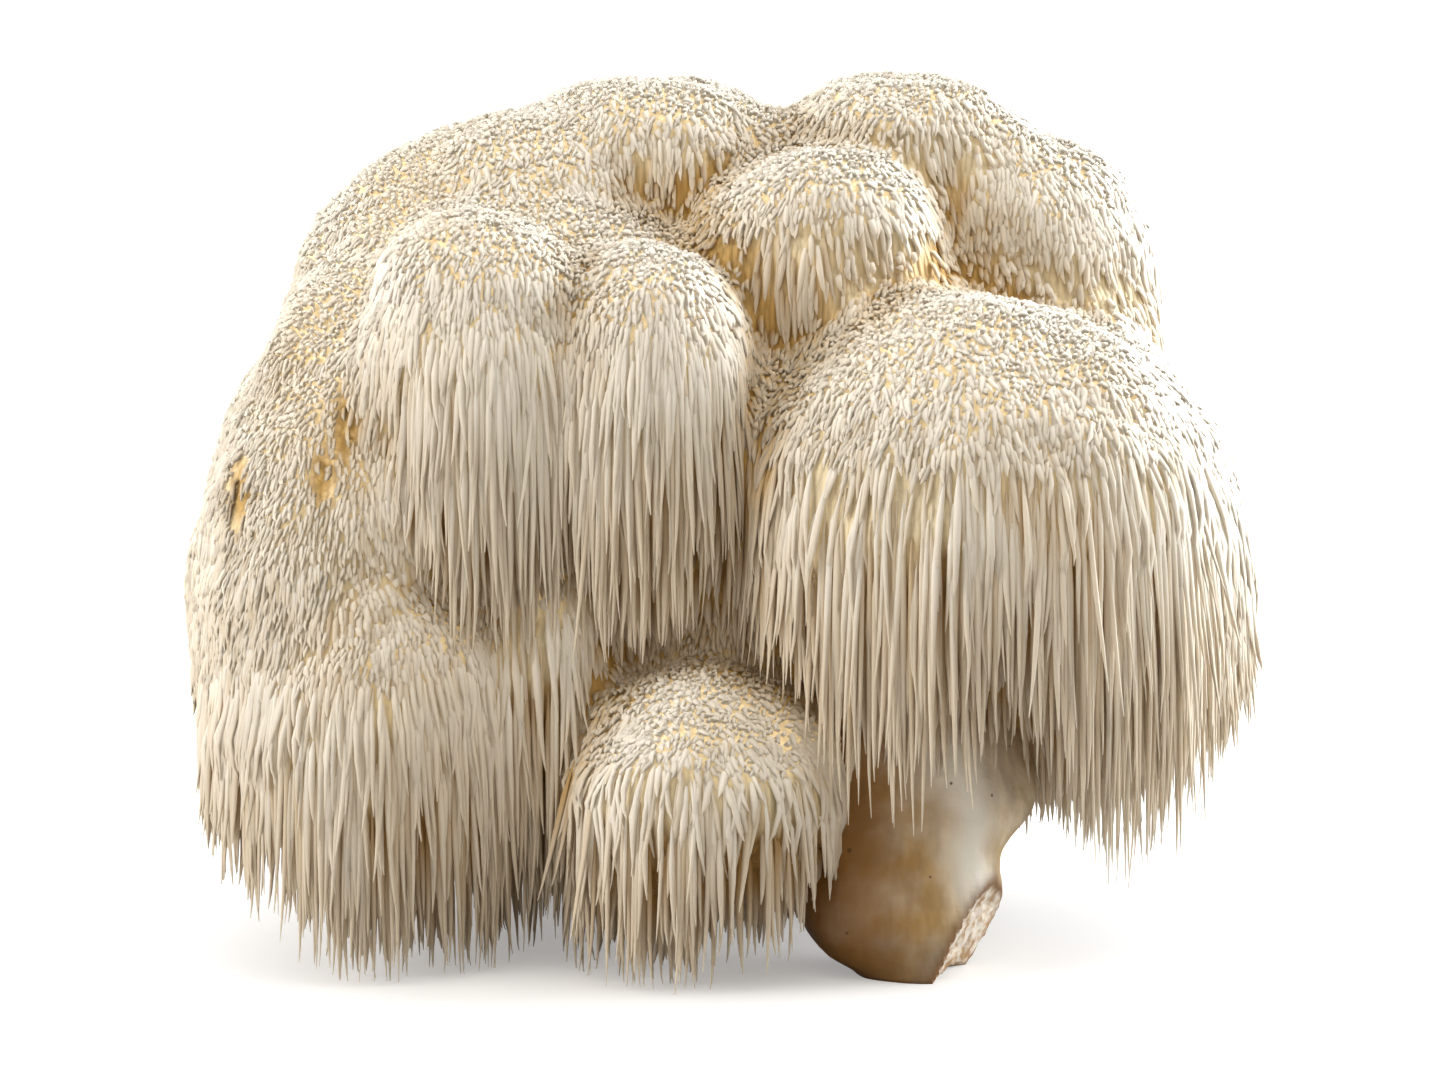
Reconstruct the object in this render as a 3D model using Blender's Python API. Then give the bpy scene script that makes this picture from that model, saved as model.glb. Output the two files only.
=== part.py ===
"""Lion's mane mushroom: a lobed head whose lobes end below in hanging locks of spines, and its short bare stem.

Sizes are in millimetres until a mesh is made. X is to the right of the photo, Y away from the camera, Z up.
The head stands on the table with its longest spines and its stem, so everything ends flat at z = 0.
"""

import math
import random

import bmesh
import bpy

SEED = 5
MM = 0.001

# One lobe is a dome over a ring of hanging locks. `at` is the centre in x and y, `level` the height where the lobe is
# widest, `half` its half-widths in x and y, `dome` the height above that level and `hang` the length below it.
# `rise` lifts the ends of the locks on the right side by that much, or on the left side where it is below zero.
# `tuck` is the share of its width by which the lobe narrows down to the ends. `round` is 2 for a ball-shaped dome
# and more for a flatter top with a fuller shoulder.
LOBES = {
    "top_centre": dict(at=(-11, 18), level=118, half=(24, 21), dome=17.5, hang=24, round=2.3),
    "top_left": dict(at=(-32, 13), level=112, half=(22.5, 21), dome=16.5, hang=24, round=2.3),
    "left_shoulder": dict(at=(-49, 10), level=92, half=(22.5, 25), dome=30, hang=27, round=2.0),
    "top_right": dict(at=(29, 19), level=119, half=(22, 21), dome=17.5, hang=24, round=2.3),
    "right_shoulder": dict(at=(48, 18), level=95, half=(23.5, 24), dome=31.5, hang=44, round=2.4),
    "crown": dict(at=(14.5, -6), level=104, half=(20.5, 18), dome=20, hang=23, rise=6, round=2.2),
    "centre_left": dict(at=(-37, -24), level=82, half=(19.5, 20), dome=32, hang=37, rise=-11, round=2.5),
    "centre": dict(at=(-11, -27), level=82, half=(16, 17), dome=28, hang=34, rise=10, round=2.4),
    "right_front": dict(at=(38, -24), level=69, half=(37, 34), dome=34, hang=39, rise=14, round=1.8),
    "left_flank": dict(at=(-58, -5), level=52, half=(27, 41), dome=43, hang=34, tuck=0.04, round=1.85),
    "right_flank": dict(at=(58.5, -2), level=52, half=(26, 33), dome=43, hang=36, rise=17, tuck=0.16, round=2.0),
    "bottom_left": dict(at=(-54, -22), level=34, half=(27.5, 30), dome=29, hang=35, rise=-17, tuck=0.12, round=1.6),
    "low_left_knob": dict(at=(-52, -30), level=36, half=(15, 20), dome=22, hang=35, tuck=0.04, round=1.9),
    "bottom_centre": dict(at=(-4.5, -35), level=28, half=(21, 25), dome=19, hang=29, rise=6, round=1.6),
    "stem_side": dict(at=(9, -36), level=27, half=(10, 14), dome=13, hang=22, rise=9),
    "between_low": dict(at=(-28, -16), level=50, half=(16, 24), dome=15, hang=40, tuck=0.06),
    "right_inner": dict(at=(37, -14), level=50, half=(25, 27), dome=18, hang=22, tuck=0.08),
    "bridge": dict(at=(-29, -4), level=92, half=(30, 22), dome=24, hang=30, round=2.2),
    "left_bridge": dict(at=(-54, -13), level=74, half=(22, 21), dome=30, hang=34, round=2.0),
    "back_top": dict(at=(4, 31), level=94, half=(30, 25), dome=27, hang=44),
    "back_left": dict(at=(-40, 31), level=78, half=(30, 28), dome=30, hang=46),
    "back_right": dict(at=(38, 33), level=76, half=(32, 27), dome=30, hang=44),
    "back_low_left": dict(at=(-36, 30), level=38, half=(30, 29), dome=26, hang=38.5, tuck=0.08),
    "back_low_right": dict(at=(14, 33), level=36, half=(29, 27), dome=26, hang=36.5, tuck=0.08),
}
TUCK = 0.10
ROUND = 2.2
# A lock is a bundle of spines about this wide, and it stands out of the lobe by RIDGE at its lower end.
# The dome above is lumpy by up to LUMP.
LOCK_WIDTH = 7.7
RIDGE = 1.5
LUMP = 0.9
TIP_LENGTH = 7.0
TIP_SPREAD = 2.6
# Tips that would pass through the table are cut flat on it, and none starts lower than this.
LOWEST_TIP = -0.6
# Shares of the dome from the top down, and shares of the hang from the widest level down, at which a ring lies.
DOME_RINGS = (0.93, 0.68, 0.30)
HANG_RINGS = (0.0, 1.0)

# The flesh that the lobes grow from fills the middle, so that no hollow is closed in between them.
FLESH = dict(at=(-1, 12, 66), half=(68, 38, 50))
FLESH_ROUND = 2.4

# Stem rings: height, centre in x and y, half-widths in x and y.
STEM_RINGS = (
    (-2, 29.5, -41.5, 7, 7.5),
    (0, 29, -41, 9.5, 9),
    (3, 27.5, -39, 13.3, 11),
    (7, 26.5, -37, 15.5, 13),
    (12, 26, -34, 16.2, 14.5),
    (18, 26, -31, 16.8, 15.5),
    (24, 27.5, -28, 19.5, 16.5),
    (34, 27, -23, 20, 18),
)
STEM_SIDES = 20
STEM_RIPPLE = 0.035
# The stem was torn off its log at the lower right, which leaves a slanting face there.
SCAR_POINT = (37.5, -40, 5)
SCAR_NORMAL = (0.86, -0.36, -0.36)
GAP = 0.3


def clear_scene():
    for obj in list(bpy.data.objects):
        bpy.data.objects.remove(obj, do_unlink=True)


def object_from(name, points, faces):
    """A mesh object in metres from points in millimetres, its faces turned outwards."""
    mesh = bpy.data.meshes.new(name)
    mesh.from_pydata([tuple(MM * value for value in point) for point in points], [], faces)
    work = bmesh.new()
    work.from_mesh(mesh)
    bmesh.ops.recalc_face_normals(work, faces=work.faces)
    if work.calc_volume(signed=True) < 0:
        bmesh.ops.reverse_faces(work, faces=work.faces)
    work.to_mesh(mesh)
    work.free()
    obj = bpy.data.objects.new(name, mesh)
    bpy.context.scene.collection.objects.link(obj)
    return obj


def lobe_solid(name, at, level, half, dome, hang, rise=0.0, tuck=TUCK, round=ROUND):
    """One lobe: a lumpy dome, a fluted skirt, a ring of lock ends along its edge and a second ring inside it."""
    dice = random.Random(f"{SEED} {name}")
    around = math.pi * (half[0] + half[1])
    locks = max(12, int(around / LOCK_WIDTH + 0.5))
    columns = 2 * locks
    bulge = [dice.uniform(-0.9, 0.9) for _ in range(locks)]
    longer = [dice.uniform(-TIP_SPREAD, TIP_SPREAD) for _ in range(locks)]
    shift = [dice.uniform(-0.22, 0.22) for _ in range(columns)]
    points = []

    def angle(column):
        return 2 * math.pi * (column + shift[column % columns]) / columns

    def end_level(turn):
        return max(level - hang + max(rise * math.cos(turn), 0.0), LOWEST_TIP)

    def put(turn, share, height, out):
        x = at[0] + (half[0] * share + out) * math.cos(turn)
        y = at[1] + (half[1] * share + out) * math.sin(turn)
        points.append((x, y, height))

    for up in DOME_RINGS:
        share = (1 - up**round) ** (1 / round)
        for lock in range(locks):
            lump = dice.uniform(-LUMP, LUMP) * share
            put(angle(2 * lock + 1), share, level + dome * up + lump, lump)
    skirt = len(points)
    for down in HANG_RINGS:
        share = 1 - tuck * down**2
        for column in range(columns):
            turn = angle(column)
            base = end_level(turn) + TIP_LENGTH
            flute = RIDGE * (0.35 + 0.65 * down) * (1 if column % 2 else -1)
            lock_bulge = bulge[(column // 2) % locks] * down if column % 2 else 0.0
            put(turn, share, level + (base - level) * down, flute + lock_bulge)
    edge = len(points) - columns
    inner = len(points)
    for lock in range(locks):
        turn = angle(2 * lock + 1)
        put(turn, (1 - tuck) * 0.80, end_level(turn) + TIP_LENGTH + 1.0, 0.0)
    middle = len(points)
    for lock in range(locks):
        turn = angle(2 * lock + 1)
        put(turn, (1 - tuck) * 0.50, end_level(turn) + TIP_LENGTH + 2.0, 0.0)
    outer_tips = len(points)
    for lock in range(locks):
        turn = angle(2 * lock + 1)
        put(turn, (1 - tuck) * 0.93, end_level(turn) + longer[lock], bulge[lock])
    inner_tips = len(points)
    for lock in range(locks):
        turn = angle(2 * lock + 2)
        put(turn, (1 - tuck) * 0.66, end_level(turn) + dice.uniform(-1.5, 3.0), 0.0)
    top = len(points)
    points.append((at[0], at[1], level + dome))
    under = len(points)
    points.append((at[0], at[1], level - hang + TIP_LENGTH + 3.0))

    faces = []
    for lock in range(locks):
        after = (lock + 1) % locks
        faces.append((top, lock, after))
        for ring in range(len(DOME_RINGS) - 1):
            low, high = (ring + 1) * locks, ring * locks
            faces.append((high + lock, low + lock, low + after))
            faces.append((high + lock, low + after, high + after))
        # Below the dome each lock has a groove between it and the next, so one panel becomes two.
        high = skirt - locks
        ridge, groove, after_ridge = (skirt + (2 * lock + step) % columns for step in (1, 2, 3))
        faces.append((high + lock, ridge, groove))
        faces.append((high + lock, groove, high + after))
        faces.append((high + after, groove, after_ridge))
    for ring in range(len(HANG_RINGS) - 1):
        low, high = skirt + (ring + 1) * columns, skirt + ring * columns
        for column in range(columns):
            after = (column + 1) % columns
            # Each panel is cut along the ridge side, so that the flutes stay even all round.
            if column % 2:
                faces.append((high + column, low + column, high + after))
                faces.append((high + after, low + column, low + after))
            else:
                faces.append((high + column, low + column, low + after))
                faces.append((high + column, low + after, high + after))
    for lock in range(locks):
        after = (lock + 1) % locks
        left = edge + 2 * lock
        ridge = edge + 2 * lock + 1
        right = edge + (2 * lock + 2) % columns
        tip = outer_tips + lock
        faces.append((left, tip, ridge))
        faces.append((ridge, tip, right))
        faces.append((right, tip, inner + lock))
        faces.append((inner + lock, tip, left))
        faces.append((right, inner + lock, inner + after))
        tip = inner_tips + lock
        faces.append((inner + lock, tip, inner + after))
        faces.append((inner + after, tip, middle + after))
        faces.append((middle + after, tip, middle + lock))
        faces.append((middle + lock, tip, inner + lock))
        faces.append((middle + lock, under, middle + after))
    return object_from(name, points, faces)


def flesh_solid():
    """The lumpy middle of the head."""
    bpy.ops.mesh.primitive_ico_sphere_add(subdivisions=2, radius=1.0)
    ball = bpy.context.active_object
    points = []
    for vertex in ball.data.vertices:
        size = sum(abs(value) ** FLESH_ROUND for value in vertex.co) ** (1 / FLESH_ROUND)
        points.append(tuple(FLESH["at"][i] + FLESH["half"][i] * vertex.co[i] / size for i in range(3)))
    faces = [tuple(face.vertices) for face in ball.data.polygons]
    bpy.data.objects.remove(ball, do_unlink=True)
    return object_from("flesh", points, faces)


def stem_solid(name, grow):
    """The stem, or with `grow` the larger copy of it that makes room for it in the head."""
    points = []
    for height, x, y, wide, deep in STEM_RINGS:
        top = height == STEM_RINGS[-1][0]
        lift = grow if top else 0.0
        for side in range(STEM_SIDES):
            turn = 2 * math.pi * side / STEM_SIDES
            ripple = 1 + STEM_RIPPLE * math.sin(3 * turn + 0.12 * height) + STEM_RIPPLE * math.cos(5 * turn - 0.2 * height)
            points.append(
                (
                    x + (wide * ripple + grow) * math.cos(turn),
                    y + (deep * ripple + grow) * math.sin(turn),
                    height + lift,
                )
            )
    rings = len(STEM_RINGS)
    crown = len(points)
    points.append((STEM_RINGS[-1][1], STEM_RINGS[-1][2], STEM_RINGS[-1][0] + 4 + grow))
    foot = len(points)
    points.append((STEM_RINGS[0][1], STEM_RINGS[0][2], STEM_RINGS[0][0] - grow))
    faces = []
    for side in range(STEM_SIDES):
        after = (side + 1) % STEM_SIDES
        for ring in range(rings - 1):
            low, high = ring * STEM_SIDES, (ring + 1) * STEM_SIDES
            faces.append((low + side, low + after, high + after))
            faces.append((low + side, high + after, high + side))
        last = (rings - 1) * STEM_SIDES
        faces.append((last + side, last + after, crown))
        faces.append((after, side, foot))
    return object_from(name, points, faces)


def cut_plane(obj, point, normal):
    """Takes away what lies on the side of the plane that the normal points to, and closes the cut."""
    work = bmesh.new()
    work.from_mesh(obj.data)
    cut = bmesh.ops.bisect_plane(
        work,
        geom=list(work.verts) + list(work.edges) + list(work.faces),
        dist=1e-7,
        plane_co=[MM * value for value in point],
        plane_no=normal,
        clear_outer=True,
    )
    rim = [item for item in cut["geom_cut"] if isinstance(item, bmesh.types.BMEdge)]
    bmesh.ops.edgeloop_fill(work, edges=rim)
    bmesh.ops.triangulate(work, faces=work.faces)
    bmesh.ops.recalc_face_normals(work, faces=work.faces)
    work.to_mesh(obj.data)
    work.free()


def boolean(obj, other, operation):
    """Applies one exact Boolean and removes the other object."""
    modifier = obj.modifiers.new("join", "BOOLEAN")
    modifier.operation = operation
    modifier.solver = "EXACT"
    modifier.object = other
    bpy.context.view_layer.update()
    graph = bpy.context.evaluated_depsgraph_get()
    result = bpy.data.meshes.new_from_object(obj.evaluated_get(graph))
    obj.modifiers.clear()
    obj.data = result
    bpy.data.objects.remove(other, do_unlink=True)


def keep_largest(obj):
    """Drops the loose ends of locks that a cut has freed."""
    work = bmesh.new()
    work.from_mesh(obj.data)
    unseen = set(work.verts)
    pieces = []
    while unseen:
        start = unseen.pop()
        piece = {start}
        front = [start]
        while front:
            vertex = front.pop()
            for edge in vertex.link_edges:
                other = edge.other_vert(vertex)
                if other in unseen:
                    unseen.discard(other)
                    piece.add(other)
                    front.append(other)
        pieces.append(piece)
    pieces.sort(key=len, reverse=True)
    loose = [vertex for piece in pieces[1:] for vertex in piece]
    bmesh.ops.delete(work, geom=loose, context="VERTS")
    bmesh.ops.triangulate(work, faces=work.faces)
    work.to_mesh(obj.data)
    work.free()
    print(obj.name, "pieces dropped:", len(pieces) - 1, "faces:", len(obj.data.polygons))


def slab_below():
    """A block whose top is the table."""
    corners = [(x, y, z) for x in (-150, 150) for y in (-150, 150) for z in (-60, 0)]
    faces = [(0, 1, 3, 2), (4, 6, 7, 5), (0, 4, 5, 1), (2, 3, 7, 6), (0, 2, 6, 4), (1, 5, 7, 3)]
    return object_from("table_cut", corners, faces)


def finish(obj, name, colour, roughness):
    obj.name = name
    obj.data.name = name
    material = bpy.data.materials.new(name)
    material.use_nodes = True
    shader = material.node_tree.nodes["Principled BSDF"]
    shader.inputs["Base Color"].default_value = (*colour, 1.0)
    shader.inputs["Roughness"].default_value = roughness
    shader.inputs["Metallic"].default_value = 0.0
    obj.data.materials.clear()
    obj.data.materials.append(material)


def main():
    clear_scene()
    head = flesh_solid()
    for name, sizes in LOBES.items():
        boolean(head, lobe_solid(name, **sizes), "UNION")
    boolean(head, stem_solid("room", GAP), "DIFFERENCE")
    boolean(head, slab_below(), "DIFFERENCE")
    keep_largest(head)
    finish(head, "head", (0.80, 0.72, 0.56), 0.65)

    stem = stem_solid("stem", 0.0)
    cut_plane(stem, SCAR_POINT, SCAR_NORMAL)
    cut_plane(stem, (0, 0, 0), (0, 0, -1))
    keep_largest(stem)
    finish(stem, "stem", (0.70, 0.56, 0.38), 0.6)


main()
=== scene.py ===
# %% [markdown]
# # Lion's mane mushroom
#
# A lion's mane is one lump of pale flesh that splits into rounded lobes. Every lobe grows soft spines:
# short curly ones on top, and long straight ones round its sides that hang down like icicles. A bare stem
# carries the lump. This lesson builds it in that order: the flesh, the spines that Geometry Nodes grow from
# it, then the stem, the finishes, and last the table, the lights and the camera.

# %% Load the frame
import math
from functools import partialmethod

import bmesh
import bpy
import numpy as np
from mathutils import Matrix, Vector, noise
from mathutils.bvhtree import BVHTree


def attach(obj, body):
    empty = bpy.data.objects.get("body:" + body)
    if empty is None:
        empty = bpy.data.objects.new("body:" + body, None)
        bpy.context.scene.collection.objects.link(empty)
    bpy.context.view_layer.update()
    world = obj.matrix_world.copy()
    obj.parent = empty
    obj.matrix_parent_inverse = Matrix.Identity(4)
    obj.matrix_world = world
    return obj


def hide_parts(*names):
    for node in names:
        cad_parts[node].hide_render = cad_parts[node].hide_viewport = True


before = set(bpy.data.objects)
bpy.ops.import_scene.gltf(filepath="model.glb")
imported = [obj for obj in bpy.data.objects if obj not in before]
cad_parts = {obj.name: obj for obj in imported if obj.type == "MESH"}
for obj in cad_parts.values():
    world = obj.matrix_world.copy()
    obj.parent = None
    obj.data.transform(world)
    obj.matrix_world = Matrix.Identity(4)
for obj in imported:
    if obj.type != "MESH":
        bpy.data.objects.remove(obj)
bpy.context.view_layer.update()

MM = 0.001

# %% [markdown]
# ## The lobes
#
# One table holds the lobes, with the same sizes as the CAD solids: the centre in x and y, the height where
# the lobe is widest, its half-widths, the height of its dome, and how far its spines hang below the widest
# level. `rise` lifts the ends of the spines on the right side, or on the left side where it is below zero,
# and `round` is the power of the dome's curve.

# %% Lobe table, in millimetres
LOBES = {
    "top_centre": dict(at=(-11, 18), level=118, half=(24, 21), dome=17.5, hang=24, round=2.3),
    "top_left": dict(at=(-32, 13), level=112, half=(22.5, 21), dome=16.5, hang=24, round=2.3),
    "left_shoulder": dict(at=(-49, 10), level=92, half=(22.5, 25), dome=30, hang=27, round=2.0),
    "top_right": dict(at=(29, 19), level=119, half=(22, 21), dome=17.5, hang=24, round=2.3),
    "right_shoulder": dict(at=(48, 18), level=95, half=(23.5, 24), dome=31.5, hang=44, round=2.4),
    "crown": dict(at=(14.5, -6), level=104, half=(20.5, 18), dome=20, hang=23, rise=6),
    "centre_left": dict(at=(-37, -24), level=82, half=(19.5, 20), dome=32, hang=37, rise=-11, round=2.5),
    "centre": dict(at=(-11, -27), level=82, half=(16, 17), dome=28, hang=34, rise=10, round=2.4),
    "right_front": dict(at=(38, -24), level=69, half=(37, 34), dome=34, hang=39, rise=14, round=1.8),
    "left_flank": dict(at=(-58, -5), level=52, half=(27, 41), dome=43, hang=34, round=1.85),
    "right_flank": dict(at=(58.5, -2), level=52, half=(26, 33), dome=43, hang=36, rise=17, round=2.0),
    "bottom_left": dict(at=(-54, -22), level=34, half=(27.5, 30), dome=29, hang=35, rise=-17, round=1.6),
    "bottom_centre": dict(at=(-4.5, -35), level=28, half=(21, 25), dome=19, hang=29, rise=6, round=1.6),
    "stem_side": dict(at=(9, -36), level=27, half=(10, 14), dome=13, hang=22, rise=9),
    "between_low": dict(at=(-28, -16), level=50, half=(16, 24), dome=15, hang=40),
    "right_inner": dict(at=(37, -14), level=50, half=(25, 27), dome=18, hang=22),
    "low_left_knob": dict(at=(-52, -30), level=36, half=(15, 20), dome=22, hang=35, round=1.9),
    "bridge": dict(at=(-29, -4), level=92, half=(30, 22), dome=24, hang=30),
    "left_bridge": dict(at=(-54, -13), level=74, half=(22, 21), dome=30, hang=34, round=2.0),
    "back_top": dict(at=(4, 31), level=94, half=(30, 25), dome=27, hang=44),
    "back_left": dict(at=(-40, 31), level=78, half=(30, 28), dome=30, hang=46),
    "back_right": dict(at=(38, 33), level=76, half=(32, 27), dome=30, hang=44),
    "back_low_left": dict(at=(-36, 30), level=38, half=(30, 29), dome=26, hang=38.5),
    "back_low_right": dict(at=(14, 33), level=36, half=(29, 27), dome=26, hang=36.5),
}
DOME_ROUND = 2.2
NAMES = list(LOBES)

# %% [markdown]
# ## The flesh
#
# Under the spines each lobe is a solid bulb. It ends well above the tips of the spines, so that they hang
# free at the bottom with shade between them. Joining bulbs with Booleans would leave hard creases, so they
# are remeshed into one skin with the Remesh modifier's voxels and then smoothed, which melts the lobes into
# each other as they grow.

# %% Bulbs
FLESH_INSET = 1.5
BULB_HANG = 0.62
LEAST_DROP = 8.0
BULB_ROUND = 2.4
BULB_RINGS = 18
BULB_SIDES = 40
MIDDLE = dict(at=(-1, 10, 63), half=(70, 40, 44))


def bulb_points(at, level, half, dome, hang, rise=0.0, round=DOME_ROUND):
    """Rings of points of one flesh bulb, from its top to its bottom."""
    rings = []
    for ring in range(1, BULB_RINGS):
        height = math.cos(math.pi * ring / BULB_RINGS)
        power = round if height > 0 else BULB_ROUND
        share = (1 - abs(height) ** power) ** (1 / power)
        row = []
        for side in range(BULB_SIDES):
            turn = 2 * math.pi * side / BULB_SIDES
            drop = max((hang - max(rise * math.cos(turn), 0.0)) * BULB_HANG, LEAST_DROP)
            reach = dome - FLESH_INSET if height > 0 else drop
            x = at[0] + (half[0] - FLESH_INSET) * share * math.cos(turn)
            y = at[1] + (half[1] - FLESH_INSET) * share * math.sin(turn)
            row.append((x * MM, y * MM, (level + reach * height) * MM))
        rings.append(row)
    return rings


def closed_rings(mesh, rings, top, bottom):
    """Adds rings of points to a bmesh as one closed skin with a point at each end."""
    rows = [[mesh.verts.new(point) for point in ring] for ring in rings]
    first, last = mesh.verts.new(top), mesh.verts.new(bottom)
    count = len(rows[0])
    for side in range(count):
        after = (side + 1) % count
        mesh.faces.new((first, rows[0][side], rows[0][after]))
        mesh.faces.new((rows[-1][after], rows[-1][side], last))
        for high, low in zip(rows, rows[1:]):
            mesh.faces.new((high[side], low[side], low[after], high[after]))


def new_object(name, data):
    obj = bpy.data.objects.new(name, data)
    bpy.context.scene.collection.objects.link(obj)
    return obj


def object_from(work, name):
    """Ends a bmesh as an object."""
    mesh = bpy.data.meshes.new(name)
    work.to_mesh(mesh)
    work.free()
    return new_object(name, mesh)


work = bmesh.new()
for sizes in LOBES.values():
    x, y = sizes["at"]
    top = (x * MM, y * MM, (sizes["level"] + sizes["dome"] - FLESH_INSET) * MM)
    bottom = (x * MM, y * MM, (sizes["level"] - max(sizes["hang"] * BULB_HANG, LEAST_DROP)) * MM)
    closed_rings(work, bulb_points(**sizes), top, bottom)
ball = bmesh.ops.create_icosphere(work, subdivisions=4, radius=1.0)["verts"]
for vertex in ball:
    vertex.co = Vector([(MIDDLE["at"][i] + MIDDLE["half"][i] * vertex.co[i]) * MM for i in range(3)])
bmesh.ops.recalc_face_normals(work, faces=work.faces)
bulbs = object_from(work, "bulbs")

# %% Melt the bulbs into one skin
VOXEL = 1.8 * MM
MELT_STEPS = 4


def evaluated_mesh(obj, name):
    """The object's mesh with its modifiers applied."""
    bpy.context.view_layer.update()
    graph = bpy.context.evaluated_depsgraph_get()
    mesh = bpy.data.meshes.new_from_object(obj.evaluated_get(graph))
    mesh.name = name
    return mesh


def melted(obj, name):
    """The object's mesh as one smoothed skin of even faces."""
    melt = obj.modifiers.new("voxels", "REMESH")
    melt.mode = "VOXEL"
    melt.voxel_size = VOXEL
    soften = obj.modifiers.new("soften", "SMOOTH")
    soften.factor = 0.5
    soften.iterations = MELT_STEPS
    mesh = evaluated_mesh(obj, name)
    obj.modifiers.clear()
    return mesh


flesh = new_object("flesh", melted(bulbs, "flesh"))
bpy.data.objects.remove(bulbs, do_unlink=True)

# %% [markdown]
# Smoothing alone rounds a crease by a millimetre or two, and the real lobes share far more flesh. A smooth
# union does that: each bulb gives a distance, and a soft minimum of all the distances is zero on a skin
# that fills the creases. The points of the mesh are moved onto that skin in a few steps.

# %% Fill the creases
BLEND = 3.6
SHRINK = 0.8
PULL_STEPS = 6
LONGEST_PULL = 2.0
PROBE = 0.05
# Two sizes of noise, each with its scale and its height in millimetres.
LUMPS = ((0.075, 1.5), (0.19, 0.8))


def vectors(mesh, name):
    values = np.zeros(len(mesh.vertices) * 3, np.float32)
    mesh.vertices.foreach_get(name, values)
    return values.reshape(-1, 3)


def ball_distance(points, far, centre):
    """About how far points are from a skin, where `far` is 1 on the skin and 0 at the centre."""
    return (1 - 1 / np.maximum(far, 1e-3)) * np.linalg.norm(points - centre, axis=1)


def bulb_distance(points, at, level, half, dome, hang, rise=0.0, round=DOME_ROUND):
    """About how far points in millimetres are from the skin of one bulb."""
    across = (points[:, :2] - np.array(at)) / (np.array(half) - FLESH_INSET)
    flat = np.hypot(across[:, 0], across[:, 1])
    up = points[:, 2] - level
    lift = np.maximum(rise * across[:, 0] / np.maximum(flat, 1e-6), 0.0)
    drop = np.maximum((hang - lift) * BULB_HANG, LEAST_DROP)
    tall = np.where(up > 0, dome - FLESH_INSET, drop)
    power = np.where(up > 0, round, BULB_ROUND)
    far = (flat**power + np.abs(up / tall) ** power) ** (1 / power)
    return ball_distance(points, far, np.array([at[0], at[1], level]))


def skin_distance(points):
    """A soft minimum of the distances to all bulbs: below zero inside the flesh."""
    centre = np.array(MIDDLE["at"])
    far = np.linalg.norm((points - centre) / np.array(MIDDLE["half"]), axis=1)
    total = np.exp(-ball_distance(points, far, centre) / BLEND)
    for sizes in LOBES.values():
        total += np.exp(-bulb_distance(points, **sizes) / BLEND)
    return -BLEND * np.log(total) + SHRINK


def pull_to_skin(mesh):
    points = vectors(mesh, "co").astype(float) / MM
    for _ in range(PULL_STEPS):
        value = skin_distance(points)
        slope = np.empty_like(points)
        for axis in range(3):
            step = np.zeros(3)
            step[axis] = PROBE
            slope[:, axis] = (skin_distance(points + step) - value) / PROBE
        length = np.maximum((slope**2).sum(axis=1), 0.2)
        points -= np.clip(value / length, -LONGEST_PULL, LONGEST_PULL)[:, None] * slope
    mesh.vertices.foreach_set("co", (points * MM).astype(np.float32).ravel())
    mesh.update()


def add_lumps(mesh):
    """Pushes the skin in and out by low noise, so that no dome stays a plain ball."""
    points = vectors(mesh, "co")
    normals = vectors(mesh, "normal")
    for index, point in enumerate(points / MM):
        place = Vector(point)
        push = sum(noise.noise(place * scale + Vector((7, 3, 5))) * height for scale, height in LUMPS)
        points[index] += normals[index] * push * MM
    mesh.vertices.foreach_set("co", points.ravel())
    mesh.update()


pull_to_skin(flesh.data)
flesh.data = melted(flesh, "flesh")
pull_to_skin(flesh.data)
add_lumps(flesh.data)
print("flesh with filled creases:", len(flesh.data.polygons), "faces")

# %% [markdown]
# ## Where each kind of spine grows
#
# The length of a spine depends on where its root is. On top of a lobe it is a stub of a few millimetres. On
# the side it reaches down to the edge where the lobe's spines end. So every point of the flesh learns which
# lobe it belongs to, how steep it is and how far it is above that edge. Stored as attributes on the mesh,
# these numbers are read by the Geometry Nodes tree below, and nothing has to be placed by hand.

# %% Measure the flesh
# A curtain starts between these two shares of a dome's height.
CURTAIN_FROM = (0.05, 0.80)
# The spines of these lobes hang as drips from higher up than those of the others.
DRIPPING = {"top_right": 1.5, "crown": 1.35, "right_shoulder": 1.3}
# The short even spines of the left side.
FINE_LOBES = ("left_flank", "left_shoulder", "left_bridge")
FINE_REACH = 8.0
# The curtain at the right front hangs lowest here: its x and its height, in millimetres.
LOW_FRINGE = (61.0, 16.5)
LOW_FRINGE_LOBES = ("right_front", "right_flank")
FRONT_DROP = 4.0
# Over the stem the same curtain parts in an arch: its x, its half-width and its height.
ARCH = (42.5, 6.5, 16.0)
# Narrow bare slits on the left side, where the golden flesh shows: x, height, half-width and half-height.
SLITS = ((-73, 71, 1.7, 4.5), (-60, 74, 1.5, 3.5), (-56.5, 82, 1.6, 5.0))
PIT_RAYS = 14
PIT_REACH = 26.0
HANG_OUT = 2.2
HANG_MARGIN = 1.5
LEAST_REACH = 3.0


def store(mesh, name, values):
    layer = mesh.attributes.new(name, "FLOAT", "POINT")
    layer.data.foreach_set("value", np.ascontiguousarray(values, np.float32).ravel())


def smooth_step(values, low, high):
    share = np.clip((values - low) / (high - low), 0, 1)
    return share * share * (3 - 2 * share)


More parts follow.
